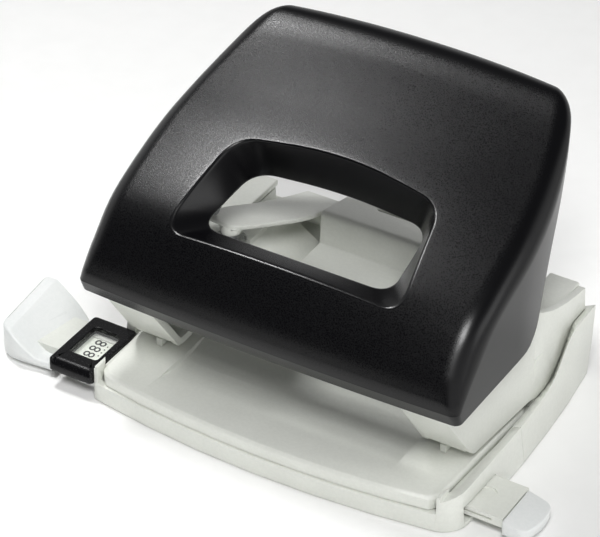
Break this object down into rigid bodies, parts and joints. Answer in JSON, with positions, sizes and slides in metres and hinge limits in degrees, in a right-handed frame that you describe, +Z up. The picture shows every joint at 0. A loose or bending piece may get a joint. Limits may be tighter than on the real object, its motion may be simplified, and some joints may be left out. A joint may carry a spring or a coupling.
{
  "type": "hole punch",
  "caption": "Desk punch for filing holes with a hooded lever handle that has a grip opening, a flat paper table, a sliding sheet-size guide with a scale window and a chip tray.",
  "frame": {"origin": "on the desk, on the mid plane between the two punches, under the front grip pad", "axes": "+X to the user's right along the row of holes, +Y to the back, +Z up"},
  "size_m": [0.1919, 0.1056, 0.1039],
  "materials": {
    "light_plastic": "light warm grey moulded plastic, satin",
    "pale_plastic": "paler grey moulded plastic, satin",
    "black_plastic": "near-black plastic with a fine grain on the face and smooth edges",
    "gloss_black": "polished black plastic",
    "clear_lens": "clear window",
    "scale_print": "light strip with dark digits",
    "dark_rubber": "matte",
    "bright_steel": "ground steel",
    "zinc_steel": "zinc plated sheet steel"
  },
  "bodies": {
    "base": {"base_frame": "light_plastic", "rear_tub": "light_plastic", "paper_table": "light_plastic", "punch_housing": "light_plastic", "mechanism_cover": "light_plastic", "pivot_axle": "bright_steel", "lever_axle": "bright_steel", "axle_clip_left": "bright_steel", "axle_clip_right": "bright_steel", "window_frame": "gloss_black", "window_lens": "clear_lens", "front_grip_pad": "dark_rubber", "rear_foot_left": "dark_rubber", "rear_foot_right": "dark_rubber", "rear_cap_left": "light_plastic", "rear_cap_right": "light_plastic", "punch_bracket_left": "zinc_steel", "punch_bracket_right": "zinc_steel", "die_left": "bright_steel", "die_right": "bright_steel", "base_screw_front_left": "zinc_steel", "base_screw_front_right": "zinc_steel", "base_screw_rear_left": "zinc_steel", "base_screw_rear_right": "zinc_steel", "pin_spring_left": "bright_steel", "pin_spring_right": "bright_steel"},
    "handle": {"handle_shell": "black_plastic", "handle_yoke": "zinc_steel"},
    "left_punch": {"punch_pin_left": "bright_steel", "pin_clip_left": "bright_steel"},
    "right_punch": {"punch_pin_right": "bright_steel", "pin_clip_right": "bright_steel"},
    "left_lever": {"press_lever_left": "light_plastic"},
    "right_lever": {"press_lever_right": "light_plastic"},
    "guide": {"guide_bar": "light_plastic", "bar_tip": "pale_plastic", "scale_strip": "scale_print", "paper_stop": "pale_plastic"},
    "tray": {"chip_tray": "light_plastic"}
  },
  "joints": [
    {"name": "handle_hinge", "type": "hinge", "parent": "base", "child": "handle", "pos_m": [0, 0.002, 0.033], "axis": [-1, 0, 0], "range_deg": [0, 13.5]},
    {"name": "left_punch_slide", "type": "slide", "parent": "base", "child": "left_punch", "axis": [0, 0, -1], "range_m": [0, 0.0058], "stiffness_N_per_m": 500, "springref_m": -0.006, "deforming": ["pin_spring_left"]},
    {"name": "right_punch_slide", "type": "slide", "parent": "base", "child": "right_punch", "axis": [0, 0, -1], "range_m": [0, 0.0058], "stiffness_N_per_m": 500, "springref_m": -0.006, "deforming": ["pin_spring_right"]},
    {"name": "left_lever_hinge", "type": "hinge", "parent": "base", "child": "left_lever", "pos_m": [0, 0.064, 0.032], "axis": [1, 0, 0], "range_deg": [0, 7.8]},
    {"name": "right_lever_hinge", "type": "hinge", "parent": "base", "child": "right_lever", "pos_m": [0, 0.064, 0.032], "axis": [1, 0, 0], "range_deg": [0, 7.8]},
    {"name": "guide_slide", "type": "slide", "parent": "base", "child": "guide", "axis": [-1, 0, 0], "range_m": [0, 0.072]},
    {"name": "tray_slide", "type": "slide", "parent": "base", "child": "tray", "axis": [0, 1, 0], "range_m": [0, 0.045]}
  ],
  "couplings": [
    {"joint": "left_punch_slide", "follows": "handle_hinge", "m_per_rad": 0.0237},
    {"joint": "right_punch_slide", "follows": "handle_hinge", "m_per_rad": 0.0237},
    {"joint": "left_lever_hinge", "follows": "handle_hinge", "ratio": 0.56},
    {"joint": "right_lever_hinge", "follows": "handle_hinge", "ratio": 0.56}
  ]
}
